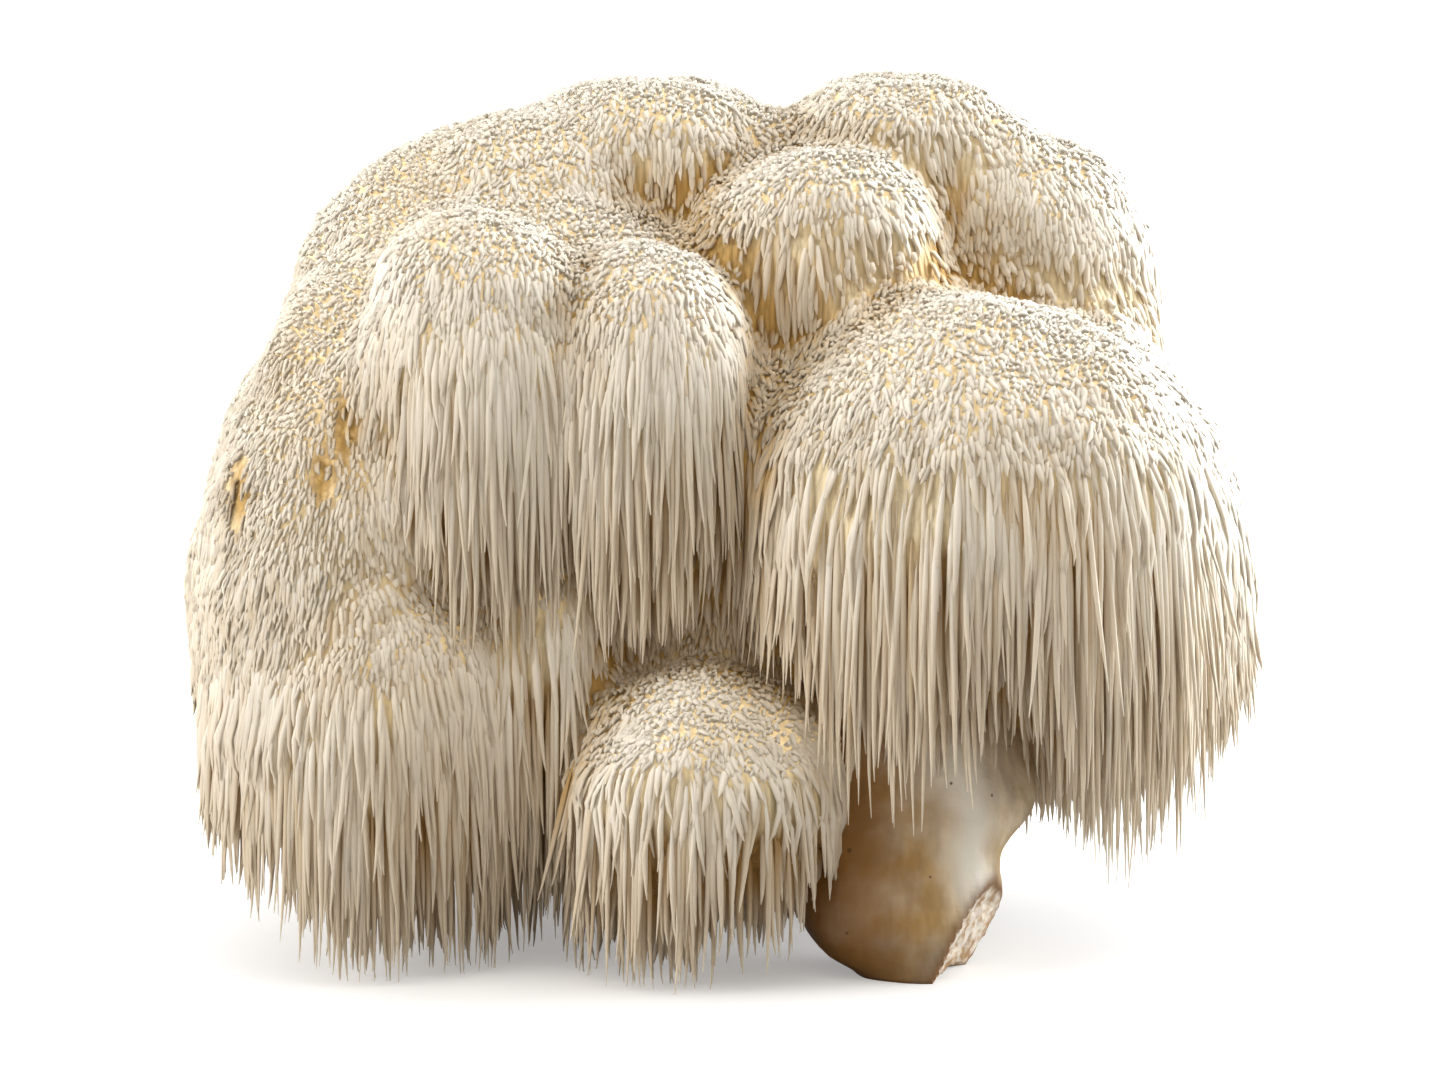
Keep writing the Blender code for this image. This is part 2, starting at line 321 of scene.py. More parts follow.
def owners(points):
    """For each point: the number of its lobe, where its spines end, and how near it is to the side."""
    nearest = np.full(len(points), np.inf)
    owner = np.zeros(len(points), int)
    total, end, side = np.zeros((3, len(points)))
    for number, sizes in enumerate(LOBES.values()):
        far = bulb_distance(points, **sizes)
        across = (points[:, :2] - np.array(sizes["at"])) / np.array(sizes["half"])
        turn_cos = across[:, 0] / np.maximum(np.hypot(across[:, 0], across[:, 1]), 1e-6)
        edge = sizes["level"] - sizes["hang"] + np.maximum(sizes.get("rise", 0.0) * turn_cos, 0.0)
        up_dome = (points[:, 2] - sizes["level"]) / sizes["dome"]
        weight = np.exp(-far / 1.5)
        total += weight
        end += weight * edge
        side += weight * (1 - smooth_step(up_dome, *CURTAIN_FROM))
        owner = np.where(far < nearest, number, owner)
        nearest = np.minimum(nearest, far)
    return owner, end / total, side / total


def pits(tree, points, normals):
    """How closed in each point of the flesh is: the share of short rays over it that hit flesh again."""
    sides = np.cross(normals, (0.3, 0.5, 0.8))
    sides /= np.linalg.norm(sides, axis=1)[:, None]
    others = np.cross(normals, sides)
    starts = points + normals * 0.3
    found = np.zeros(len(points))
    for number in range(PIT_RAYS):
        turn = number * math.pi * (3 - math.sqrt(5))
        rise = 1 - (number + 0.5) / PIT_RAYS * 0.9
        flat = math.sqrt(1 - rise * rise)
        rays = normals * rise + sides * flat * math.cos(turn) + others * flat * math.sin(turn)
        for index, (start, ray) in enumerate(zip(starts.tolist(), rays.tolist())):
            distance = tree.ray_cast(start, ray, PIT_REACH)[3]
            if distance is not None:
                found[index] += 1 - distance / PIT_REACH
    return found / PIT_RAYS


def room_below(tree, points, normals):
    """How far a spine can hang from each point before its tip meets flesh, in millimetres."""
    room = np.full(len(points), 200.0)
    for index, start in enumerate((points + normals * HANG_OUT).tolist()):
        distance = tree.ray_cast(start, (0, 0, -1))[3]
        if distance is not None:
            room[index] = max(distance - HANG_MARGIN, LEAST_REACH)
    return room


def is_any(owner, names):
    """Whether each point belongs to one of the named lobes."""
    return np.isin(owner, [NAMES.index(name) for name in names])


def measures(mesh):
    """What the spine tree and the materials read at each point of the flesh, by attribute name."""
    points = vectors(mesh, "co") / MM
    normals = vectors(mesh, "normal")
    tree = BVHTree.FromPolygons(points.tolist(), [list(face.vertices) for face in mesh.polygons])
    owner, end, side = owners(points)
    x, y, z = points.T
    up = normals[:, 2]
    steep = side * (1 - smooth_step(up, 0.34, 0.84))
    for name, more in DRIPPING.items():
        steep = np.where(is_any(owner, [name]), np.minimum(steep * more, 1.0), steep)
    # Velvet covers the left side, and ends along a slope towards the front.
    fine = is_any(owner, FINE_LOBES).astype(float) * smooth_step(z - x - 60, 38, 60)
    slit = np.zeros(len(points))
    for middle, height, wide, tall in SLITS:
        slit += np.exp(-(((x - middle) / wide) ** 2) - ((z - height) / tall) ** 2)
    slit = np.where(y < 10, np.minimum(slit * 1.3, 1.0), 0.0)
    # The end of the spines follows the lobe's own edge, but for the low fringe and the arch over the stem.
    on_front = (y < 0) & is_any(owner, LOW_FRINGE_LOBES)
    arch = ARCH[2] * np.exp(-(((x - ARCH[0]) / ARCH[1]) ** 2))
    end += np.where(is_any(owner, ["right_front"]), arch - FRONT_DROP, 0.0)
    fringe = LOW_FRINGE[1] + 10.0 * ((x - LOW_FRINGE[0]) / 12.0) ** 2
    end = np.where(on_front, np.minimum(end, fringe), end)
    reach = np.minimum(np.maximum(z - end, LEAST_REACH), room_below(tree, points, normals))
    reach = np.where(fine > 0, reach * (1 - fine) + np.minimum(reach, FINE_REACH) * fine, reach)
    # Long spines cover each other, so the steep flesh and the undersides need fewer roots.
    dense = 0.21 + 0.79 * (1 - smooth_step(steep, 0.60, 1.0))
    dense = np.where(up < -0.45, 0.15, dense)
    dense = np.maximum(dense, fine)
    dense = np.where(on_front & (x > 45), np.minimum(dense * 1.5, 1.0), dense)
    # How closed in the flesh is, which the materials turn into golden painted shade; the slits show their
    # own golden flesh.
    pit = smooth_step(pits(tree, points, normals), 0.03, 0.24)
    return dict(
        owner=owner,
        steep=steep,
        fine=fine,
        reach=reach * MM,
        dense=dense * (1 - slit),
        pit=np.maximum(pit, slit),
        # How far the flesh faces down, which the materials turn into brown painted shade.
        deep=smooth_step(-up, 0.0, 0.45),
        grow=1 - smooth_step(up, 0.40, 0.97),
    )


for name, values in measures(flesh.data).items():
    store(flesh.data, name, values)

# %% [markdown]
# ## A small helper for node trees
#
# This helper makes a node and takes each input as a plain value or as another node's output, so a tree of
# geometry or shader nodes reads like a list of steps.

# %% Tree helper
VECTOR = "FLOAT_VECTOR"


class Nodes:
    """Adds nodes to a tree."""

    def __init__(self, tree):
        self.tree = tree

    def fill(self, made, inputs):
        """Sets a node's inputs to plain values, or links them to other nodes' outputs."""
        for key, value in inputs.items():
            if isinstance(value, bpy.types.NodeSocket):
                self.tree.links.new(value, made.inputs[key])
            else:
                made.inputs[key].default_value = value
        return made

    def node(self, kind, inputs=(), **options):
        made = self.tree.nodes.new(kind)
        for name, value in options.items():
            setattr(made, name, value)
        return self.fill(made, dict(inputs))

    def math(self, operation, *values, **options):
        made = self.node("ShaderNodeMath", dict(enumerate(values)), operation=operation, **options)
        return made.outputs[0]

    plus = partialmethod(math, "ADD")
    minus = partialmethod(math, "SUBTRACT")
    times = partialmethod(math, "MULTIPLY")
    over = partialmethod(math, "DIVIDE")
    power = partialmethod(math, "POWER")
    least = partialmethod(math, "MINIMUM")
    most = partialmethod(math, "MAXIMUM")

    def line(self, value, slope, start):
        return self.plus(self.times(value, slope), start)

    def less(self, value, share):
        """One, less a share of the value."""
        return self.minus(1.0, self.times(value, share))

    def vector(self, operation, *values):
        made = self.node("ShaderNodeVectorMath", dict(enumerate(values)), operation=operation)
        return made.outputs["Value" if operation == "DOT_PRODUCT" else "Vector"]

    def scaled(self, vector, scale):
        made = self.node("ShaderNodeVectorMath", {0: vector, "Scale": scale}, operation="SCALE")
        return made.outputs["Vector"]

    def split(self, vector):
        return self.node("ShaderNodeSeparateXYZ", {"Vector": vector}).outputs

    def noise(self, place, scale, detail):
        inputs = {"Vector": place, "Scale": scale, "Detail": detail}
        return self.node("ShaderNodeTexNoise", inputs).outputs

    def ranged(self, value, low, high, start=0.0, end=1.0, **options):
        inputs = {"Value": value, "From Min": low, "From Max": high, "To Min": start, "To Max": end}
        return self.node("ShaderNodeMapRange", inputs, **options).outputs["Result"]

    def mixed(self, share, first, second, blend="MIX"):
        """A mix of two colours."""
        inputs = {0: share, 6: first, 7: second}
        return self.node("ShaderNodeMix", inputs, data_type="RGBA", blend_type=blend).outputs[2]

    def mixed_vector(self, share, first, second):
        return self.node("ShaderNodeMix", {0: share, 4: first, 5: second}, data_type="VECTOR").outputs[1]

    def attribute(self, name, kind="FLOAT"):
        if self.tree.bl_idname == "GeometryNodeTree":
            made = self.node("GeometryNodeInputNamedAttribute", {"Name": name}, data_type=kind)
            return made.outputs["Attribute"]
        made = self.node("ShaderNodeAttribute", attribute_name=name)
        return made.outputs["Vector" if kind == VECTOR else "Fac"]

    def random(self, low, high, seed, kind="FLOAT"):
        first = 0 if kind == VECTOR else 2
        inputs = {first: low, first + 1: high, "Seed": seed}
        return self.node("FunctionNodeRandomValue", inputs, data_type=kind).outputs[first // 2]

    def geometry(self, kind, inputs, **options):
        """The first output of a node that changes geometry."""
        return self.node("GeometryNode" + kind, inputs, **options).outputs[0]

    def remember(self, geometry, name, value, kind="FLOAT"):
        inputs = {"Geometry": geometry, "Name": name, "Value": value}
        return self.geometry("StoreNamedAttribute", inputs, data_type=kind, domain="POINT")


class Group(Nodes):
    """A node group with named inputs and one output."""

    def __init__(self, name, kind, inputs, result):
        super().__init__(bpy.data.node_groups.new(name, kind))
        self.sockets = {}
        for label, (socket_kind, default) in inputs.items():
            socket = self.add_socket(label, "INPUT", socket_kind)
            if default is not None:
                socket.default_value = default
            self.sockets[label] = socket.identifier
        self.add_socket(result[0], "OUTPUT", result[1])
        self.start = self.node("NodeGroupInput").outputs
        self.end = self.node("NodeGroupOutput")

    def add_socket(self, label, way, kind):
        return self.tree.interface.new_socket(label, in_out=way, socket_type="NodeSocket" + kind)

    def given(self, label):
        return self.start[label]


def run_tree(bed, tree, values, name):
    """Puts the tree on the object, sets its inputs, and returns the result as a plain mesh object."""
    modifier = bed.modifiers.new(tree.tree.name, "NODES")
    modifier.node_group = tree.tree
    for label, value in values.items():
        modifier[tree.sockets[label]] = value
    return new_object(name, evaluated_mesh(bed, name))


# %% [markdown]
# ## The spine tree
#
# A spine starts straight out of the flesh, bends over within a few millimetres and then hangs. Its path can
# be written down: with s the length along it, it has gone out by `bend * (1 - exp(-s / bend))`, and down by
# the rest. The tree scatters roots over the flesh, puts a short line on each, moves the line's points onto
# that path, pushes out the ones that would pass through the flesh, and turns the lines into thin tapering
# tubes.

# %% Spine tree
DOWN = (0.0, 0.0, -1.0)
# Spines of these lengths hang freely, are pushed only straight out, and get the sides of a long spine.
HANGING_LENGTH = 16.0 * MM
STRAIGHT_LENGTH = 9.0 * MM
STUB_LENGTH = 5.0 * MM
LEAST_HEIGHT = 0.6 * MM
INPUTS = {
    "Geometry": ("Geometry", None),
    "Flesh": ("Object", None),
    "Spacing": ("Float", 0.70 * MM),
    "Roots per square metre": ("Float", 2600000.0),
    "Stub length": ("Float", 1.6 * MM),
    "Thickness": ("Float", 0.52 * MM),
    "Bend": ("Float", 1.7 * MM),
    "Clearance": ("Float", 0.6 * MM),
    "Wobble": ("Float", 1.3 * MM),
    "Length of a step": ("Float", 7.5 * MM),
    "Curl": ("Float", 0.8 * MM),
    "Drift": ("Float", 3.2 * MM),
    "Sides of a stub": ("Int", 3),
    "Sides of a long spine": ("Int", 4),
    "Seed": ("Int", 1),
    "Material": ("Material", None),
}


def spine_length(tree, root):
    """Between a stub and a full hanging spine, by the steepness of the flesh."""
    stub = tree.times(tree.given("Stub length"), tree.random(0.6, 1.5, 11))
    stub = tree.times(stub, tree.line(tree.attribute("grow"), 1.4, 1.0))
    # Stubs stand in tufts, higher and lower than the ones around.
    tufts = tree.noise(root, 260.0, 1.0)["Fac"]
    stub = tree.times(stub, tree.line(tufts, 2.0, 0.1))
    stub = tree.times(stub, tree.less(tree.attribute("fine"), 0.35))
    drawn = tree.power(tree.random(0.0, 1.0, 12), 0.75)
    full = tree.times(tree.attribute("reach"), tree.line(drawn, 0.66, 0.42))
    # The curtain starts higher in some places than in others.
    start = tree.times(tree.minus(tree.random(0.0, 1.0, 17), 0.5), 0.5)
    share = tree.times(tree.attribute("steep"), tree.plus(1.0, start))
    waves = tree.noise(root, 85.0, 1.0)["Fac"]
    share = tree.times(share, tree.line(waves, 1.1, 0.5))
    share = tree.power(tree.least(share, 1.0), 1.9)
    return tree.node("ShaderNodeMix", {"Factor": share, "A": stub, "B": full}).outputs["Result"]


def spine_roots(tree, root):
    """Points on the flesh that carry what is drawn once for each spine."""
    inputs = {
        "Mesh": tree.given("Geometry"),
        "Distance Min": tree.given("Spacing"),
        "Density Max": tree.given("Roots per square metre"),
        "Density Factor": tree.attribute("dense"),
        "Seed": tree.given("Seed"),
    }
    roots = tree.node("GeometryNodeDistributePointsOnFaces", inputs, distribute_method="POISSON").outputs
    points = tree.remember(roots["Points"], "out", roots["Normal"], VECTOR)
    points = tree.remember(points, "root", tree.node("GeometryNodeInputPosition").outputs[0], VECTOR)
    points = tree.remember(points, "length", spine_length(tree, root))
    points = tree.remember(points, "tone", tree.random(0.0, 1.0, 13))
    points = tree.remember(points, "lean", tree.random((-1, -1, 0), (1, 1, 0), 14, VECTOR), VECTOR)
    points = tree.remember(points, "thick", tree.random(0.72, 1.18, 15))
    # The same draw as in the length, so that the shortest spines of a curtain are its outer layer.
    return tree.remember(points, "layer", tree.minus(1.0, tree.random(0.0, 1.0, 12)))


def spine_lines(tree, points):
    """A line on each root. A stub needs few points and a long spine more."""
    line = tree.geometry("CurvePrimitiveLine", {"End": (0.0, 0.0, 0.001)})
    placed = tree.geometry("InstanceOnPoints", {"Points": points, "Instance": line})
    curves = tree.geometry("RealizeInstances", {"Geometry": placed})
    count = tree.plus(tree.over(tree.attribute("length"), tree.given("Length of a step")), 4.0)
    return tree.geometry("ResampleCurve", {"Curve": curves, "Count": tree.least(count, 9.0)})


def hanging_path(tree, out, root, lean, along, hangs, drift, run):
    """Where the points of a spine are that grows out of the flesh, bends over and hangs."""
    bend = tree.times(tree.given("Bend"), tree.less(tree.attribute("steep"), 0.72))
    gone = tree.math("EXPONENT", tree.over(tree.times(run, -1.0), bend))
    outward = tree.plus(tree.times(bend, tree.minus(1.0, gone)), drift)
    # On flat ground a stub has nowhere to hang, so it leans over to a side of its own.
    flat = tree.power(tree.most(tree.split(out)["Z"], 0.0), 2.0)
    side = tree.scaled(lean, tree.times(flat, 0.8))
    fall = tree.vector("NORMALIZE", tree.vector("ADD", DOWN, side))
    place = tree.vector("ADD", root, tree.scaled(out, outward))
    place = tree.vector("ADD", place, tree.scaled(fall, tree.minus(run, outward)))
    # Two sizes of noise bend the spines a little, and the wide one gathers neighbours into locks.
    own = tree.vector("ADD", tree.vector("MULTIPLY", place, (1.0, 1.0, 0.40)), tree.scaled(lean, 0.0012))
    fine = tree.noise(own, 130.0, 1.0)["Color"]
    wide = tree.noise(tree.vector("MULTIPLY", root, (1.0, 1.0, 0.45)), 190.0, 0.0)["Color"]
    sway = tree.vector("ADD", tree.scaled(fine, 0.6), wide)
    sway = tree.vector("SUBTRACT", sway, (0.8, 0.8, 0.8))
    sway = tree.vector("MULTIPLY", sway, (1.0, 1.0, 0.4))
    free = tree.line(hangs, 0.5, 0.5)
    loose = tree.times(tree.power(along, 0.8), tree.times(tree.given("Wobble"), free))
    place = tree.vector("ADD", place, tree.scaled(sway, loose))
    curl = tree.times(tree.power(along, 4.0), tree.times(tree.given("Curl"), free))
    return tree.vector("ADD", place, tree.scaled(lean, curl))


def pushed_out(tree, curves, out, along, drift):
    """Pushes out what would pass through the flesh or the stem."""
    here = tree.node("GeometryNodeInputPosition").outputs[0]
    inputs = {"Object": tree.given("Flesh")}
    solid = tree.node("GeometryNodeObjectInfo", inputs, transform_space="RELATIVE").outputs["Geometry"]
    near = tree.geometry("Proximity", {0: solid, "Sample Position": here}, target_element="FACES")
    face_out = tree.node("GeometryNodeInputNormal").outputs["Normal"]
    inputs = {"Mesh": solid, "Value": face_out, "Sample Position": here}
    sample = tree.geometry("SampleNearestSurface", inputs, data_type=VECTOR)
    height = tree.vector("DOT_PRODUCT", tree.vector("SUBTRACT", here, near), sample)
    clearance = tree.times(tree.given("Clearance"), tree.plus(tree.attribute("layer"), 0.6))
    clearance = tree.times(tree.plus(clearance, drift), tree.least(tree.times(along, 5.0), 1.0))
    push = tree.scaled(sample, tree.most(tree.minus(clearance, height), 0.0))
    # A long spine is only pushed straight away from its own root, and never across its neighbours.
    ahead = tree.vector("NORMALIZE", tree.vector("MULTIPLY", out, (1.0, 1.0, 0.0)))
    straight = tree.scaled(ahead, tree.most(tree.vector("DOT_PRODUCT", push, ahead), 0.0))
    long = tree.least(tree.over(tree.attribute("length"), STRAIGHT_LENGTH), 1.0)
    push = tree.mixed_vector(long, push, straight)
    return tree.geometry("SetPosition", {"Geometry": curves, "Offset": push})


def laid_on_table(tree, curves):
    """Nothing sinks into the table: spines that reach it lie on it."""
    here = tree.split(tree.node("GeometryNodeInputPosition").outputs[0])
    inputs = {"X": here["X"], "Y": here["Y"], "Z": tree.most(here["Z"], LEAST_HEIGHT)}
    laid = tree.node("ShaderNodeCombineXYZ", inputs).outputs[0]
    return tree.geometry("SetPosition", {"Geometry": curves, "Position": laid})


def spine_radius(tree, along, hangs):
    """A spine tapers to a rounded tip, and a hanging one is also thin where it leaves the flesh."""
    taper = tree.power(tree.minus(1.0, tree.power(along, 7.0)), 0.55)
    taper = tree.line(taper, 0.84, 0.16)
    taper = tree.times(taper, tree.minus(1.1, tree.times(tree.times(along, hangs), 0.34)))
    thin = tree.times(hangs, tree.minus(1.0, tree.least(tree.times(along, 12.0), 1.0)))
    taper = tree.times(taper, tree.less(thin, 0.7))
    radius = tree.times(tree.times(tree.given("Thickness"), tree.attribute("thick")), taper)
    return tree.times(radius, tree.less(tree.attribute("fine"), 0.12))


def tubes(tree, curves):
    """Tubes along the lines, with fewer sides on a stub than on a long spine."""
    inputs = {"A": tree.attribute("length"), "B": STUB_LENGTH}
    long = tree.node("FunctionNodeCompare", inputs, operation="GREATER_THAN").outputs[0]
    inputs = {"Geometry": curves, "Selection": long}
    parted = tree.node("GeometryNodeSeparateGeometry", inputs, domain="CURVE")
    join = tree.node("GeometryNodeJoinGeometry")
    for label, part in (("Sides of a stub", "Inverted"), ("Sides of a long spine", "Selection")):
        inputs = {
            "Curve": parted.outputs[part],
            "Profile Curve": tree.geometry("CurvePrimitiveCircle", {"Resolution": tree.given(label)}),
            "Scale": tree.node("GeometryNodeInputRadius").outputs[0],
            "Fill Caps": True,
        }
        tree.tree.links.new(tree.geometry("CurveToMesh", inputs), join.inputs[0])
    return join.outputs[0]


def spine_tree():
    tree = Group("spines", "GeometryNodeTree", INPUTS, ("Geometry", "Geometry"))
    out, root, lean = (tree.attribute(name, VECTOR) for name in ("out", "root", "lean"))
    curves = spine_lines(tree, spine_roots(tree, root))
    # Points crowd towards both ends, where the root bends and the tip rounds off.
    factor = tree.node("GeometryNodeSplineParameter").outputs["Factor"]
    along = tree.ranged(factor, 0.0, 1.0, interpolation_type="SMOOTHSTEP")
    length = tree.attribute("length")
    run = tree.times(along, length)
    hangs = tree.least(tree.over(length, HANGING_LENGTH), 1.0)
    # A hanging spine drifts outwards, the shorter the more, so that its tip shows in front of the others.
    drift = tree.least(tree.times(run, 0.12), tree.given("Drift"))
    drift = tree.times(tree.times(drift, hangs), tree.attribute("layer"))
    place = hanging_path(tree, out, root, lean, along, hangs, drift, run)
    curves = tree.geometry("SetPosition", {"Geometry": curves, "Position": place})
    curves = pushed_out(tree, curves, out, along, drift)
    curves = laid_on_table(tree, curves)
    curves = tree.remember(curves, "along", along)
    curves = tree.geometry("SetCurveRadius", {"Curve": curves, "Radius": spine_radius(tree, along, hangs)})
    mesh = tree.geometry("SetShadeSmooth", {"Geometry": tubes(tree, curves)})
    mesh = tree.geometry("RealizeInstances", {"Geometry": mesh})
    mesh = tree.geometry("SetMaterial", {"Geometry": mesh, "Material": tree.given("Material")})
    tree.fill(tree.end, {"Geometry": mesh})
    return tree


spines = spine_tree()

# %% [markdown]
# ## The stem
#
# The stem is smooth and bare, a stout trunk that narrows to the foot it stands on. It is a stack of rings
# like the CAD solid, with many more points, so that low ridges and dents can be pushed into it with noise.

# %% Stem
# Each ring's height, its centre in x and y, and its half-widths, in millimetres.
STEM_RINGS = (
    (0, 29, -41, 9.5, 9),
    (3, 27.5, -39, 13.3, 11),
    (7, 26.5, -37, 15.5, 13),
    (12, 26, -34, 16.2, 14.5),
    (18, 26, -31, 16.8, 15.5),
    (24, 27.5, -28, 19.5, 16.5),
    (34, 27, -23, 20, 18),
    (40, 27, -20, 20, 18),
)
STEM_SIDES = 96
STEM_LEVELS = 60
SCAR_POINT = Vector((37.5, -40, 5))
SCAR_NORMAL = Vector((0.86, -0.36, -0.36)).normalized()
RIDGE_TURN = -0.52
RIDGE_LEAN = -0.022
RIDGE_WIDTH = 0.24
RIDGE_HEIGHT = 0.8
DENTS = ((0.10, 0.9), (0.35, 0.22))


def curve_through(a, b, c, d, share):
    """A smooth curve through four values, at a share of the way from the second to the third."""
    slope = (c - a) * share
    bow = (2 * a - 5 * b + 4 * c - d) * share**2
    return 0.5 * (2 * b + slope + bow + (3 * b - a - 3 * c + d) * share**3)


def stem_ring(height):
    """The stem's centre and half-widths at a height, on a smooth curve through the table's rings."""
    heights = [row[0] for row in STEM_RINGS]
    place = min(max(height, heights[0]), heights[-1])
    index = max(i for i, level in enumerate(heights[:-1]) if level <= place)
    share = (place - heights[index]) / (heights[index + 1] - heights[index])
    rows = [STEM_RINGS[min(max(index + step, 0), len(STEM_RINGS) - 1)] for step in (-1, 0, 1, 2)]
    return [curve_through(*(row[column] for row in rows), share) for column in range(1, 5)]


def ridge_share(height, turn):
    """How near a place on the stem is to the ridge down its right side, which is raised and painted pale as
    a highlight.
    """
    away = turn - (RIDGE_TURN + RIDGE_LEAN * height)
    away = math.atan2(math.sin(away), math.cos(away))
    return math.exp(-((away / RIDGE_WIDTH) ** 2)) * float(smooth_step(height, 3.0, 9.0))


def stem_point(height, turn):
    """A point of the stem in millimetres, and how far into the torn scar it is."""
    x, y, wide, deep = stem_ring(height)
    ripple = 1 + 0.02 * math.sin(3 * turn + 0.12 * height) + 0.02 * math.cos(5 * turn - 0.2 * height)
    point = Vector((x + wide * ripple * math.cos(turn), y + deep * ripple * math.sin(turn), height))
    out = Vector((math.cos(turn), math.sin(turn), 0))
    dents = sum(noise.noise(point * scale) * size for scale, size in DENTS)
    point += out * (dents + RIDGE_HEIGHT * ridge_share(height, turn))
    past = (point - SCAR_POINT).dot(SCAR_NORMAL)
    if past > 0:
        torn = abs(noise.noise(point * 0.42)) * 1.5 + noise.noise(point * 1.3) * 0.35
        point -= SCAR_NORMAL * (past + 0.2 + torn * min(past, 1.2) / 1.2)
    point.z = max(point.z, 0.0)
    return point, past


def build_stem():
    work = bmesh.new()
    foot, top = Vector(STEM_RINGS[0][:3]), Vector(STEM_RINGS[-1][:3])
    turns = [2 * math.pi * side / STEM_SIDES for side in range(STEM_SIDES)]
    rings, pale, scars = [], [], []
    for level in range(STEM_LEVELS + 1):
        height = top[0] * (1 - level / STEM_LEVELS)
        made = [stem_point(height, turn) for turn in turns]
        rings.append([point * MM for point, past in made])
        scars += [past for point, past in made]
        pale += [ridge_share(height, turn) for turn in turns]
    # The skin ends in one point at the top and one at the foot, which are neither on the ridge nor torn.
    closed_rings(work, rings, Vector((top[1], top[2], top[0] + 1)) * MM, Vector((foot[1], foot[2], 0)) * MM)
    bmesh.ops.recalc_face_normals(work, faces=work.faces)
    stem = object_from(work, "stem_skin")
    stem.data.shade_smooth()
    scars = np.array(scars + [-9.0, -9.0])
    # The ridge share is also the painted highlight that the stem's material reads.
    store(stem.data, "ridge", pale + [0.0, 0.0])
    store(stem.data, "scar", smooth_step(scars, 0.0, 0.5))
    store(stem.data, "scar_edge", np.exp(-(((scars + 0.1) / 0.9) ** 2)))
    return stem


stem = build_stem()
print("stem:", len(stem.data.polygons), "faces")

# %% [markdown]
# ## Finishes
#
# The spines are cream, with golden painted shade in the recesses, darker painted shade in the inner layers
# of a curtain and towards its tips, and a little brown near the table, partly their own colour and partly
# painted shade. The tree above stored how far along its spine each point is, so the material reads that
# attribute.

# %% Colours
CREAM = (0.92, 0.865, 0.77, 1)
# Painted shade on the lower part of a curtain.
CURTAIN_SHADE = (0.80, 0.68, 0.52, 1)
GOLDEN = (0.68, 0.44, 0.16, 1)
FLESH_CREAM = (0.90, 0.76, 0.50, 1)
FLESH_GOLDEN = (0.72, 0.45, 0.14, 1)
SHADED = (0.40, 0.23, 0.07, 1)
# Painted shade on the inner layers of a curtain.
INNER_SHADE = (0.62, 0.50, 0.33, 1)
# Brown near the table: partly the tips' own colour, partly painted shade.
LOW_BROWN_AND_SHADE = (0.42, 0.26, 0.12, 1)
WARMTH = (1.0, 0.88, 0.70, 1)
WHITE = (1.0, 1.0, 1.0, 1)
STEM_TAN = (0.60, 0.40, 0.17, 1)
STEM_CREAM = (0.86, 0.74, 0.55, 1)
STEM_GOLD = (0.66, 0.42, 0.13, 1)
# Painted shade on the stem: brown to the left and near the foot.
STEM_LEFT_SHADE = (0.26, 0.11, 0.02, 1)
STEM_FOOT_SHADE = (0.16, 0.075, 0.02, 1)
STEM_SHADE = (0.36, 0.20, 0.07, 1)
# A painted highlight along the stem's ridge.
STEM_RIDGE_HIGHLIGHT = (0.95, 0.88, 0.76, 1)
STEM_DOTS = (0.13, 0.07, 0.02, 1)
SCAR_EDGE = (0.20, 0.09, 0.02, 1)
SCAR_DARK = (0.45, 0.27, 0.12, 1)
SCAR_PALE = (0.88, 0.78, 0.66, 1)

# %% Groups that the spines and the flesh share
SPINE_GLOW = 0.34
FLESH_GLOW = 0.70


def colour_group():
    """Cream with pale yellow patches, golden painted shade where closed in, painted shade on inner layers
    and underneath, and brown near the table, partly own colour and partly painted shade.
    """
    inputs = {"Cream": ("Color", None), "Golden": ("Color", None)}
    for label in ("Pit", "Inner shade", "Under"):
        inputs[label] = ("Float", 0.0)
    group = Group("mushroom_colour", "ShaderNodeTree", inputs, ("Colour", "Color"))
    place = group.node("ShaderNodeTexCoord").outputs["Object"]
    yellow = group.ranged(group.noise(place, 32.0, 3.0)["Fac"], 0.52, 0.75, 0.0, 0.30)
    # The yellow patches are the flesh's own colour; the pit share adds golden painted shade.
    warm = group.plus(yellow, group.given("Pit"), use_clamp=True)
    colour = group.mixed(warm, group.given("Cream"), group.given("Golden"))
    # Brown near the table: partly the tips' own colour, partly painted shade.
    low = group.ranged(group.split(place)["Z"], 0.020, 0.003, 0.0, 0.65)
    colour = group.mixed(low, colour, LOW_BROWN_AND_SHADE)
    # Painted shade on the inner layers.
    colour = group.mixed(group.given("Inner shade"), colour, INNER_SHADE, "MULTIPLY")
    # Brown painted shade underneath.
    colour = group.mixed(group.given("Under"), colour, SHADED)
    group.fill(group.end, {"Colour": colour})
    return group


def glow_group():
    """Painted light: a glow in place of the light that wanders from spine to spine, so that the gaps are
    ochre and not black.
    """
    inputs = {"Colour": ("Color", None)}
    for label in ("Share", "Pit", "Kept"):
        inputs[label] = ("Float", 0.0)
    group = Group("mushroom_glow", "ShaderNodeTree", inputs, ("Glow", "Color"))
    open_air = group.ranged(group.given("Pit"), 0.0, 0.8, 1.0, group.given("Kept"))
    glow = group.mixed(1.0, group.given("Colour"), open_air, "MULTIPLY")
    glow = group.mixed(1.0, glow, group.given("Share"), "MULTIPLY")
    group.fill(group.end, {"Glow": group.mixed(1.0, glow, WARMTH, "MULTIPLY")})
    return group


COLOUR_GROUP = colour_group().tree
GLOW_GROUP = glow_group().tree


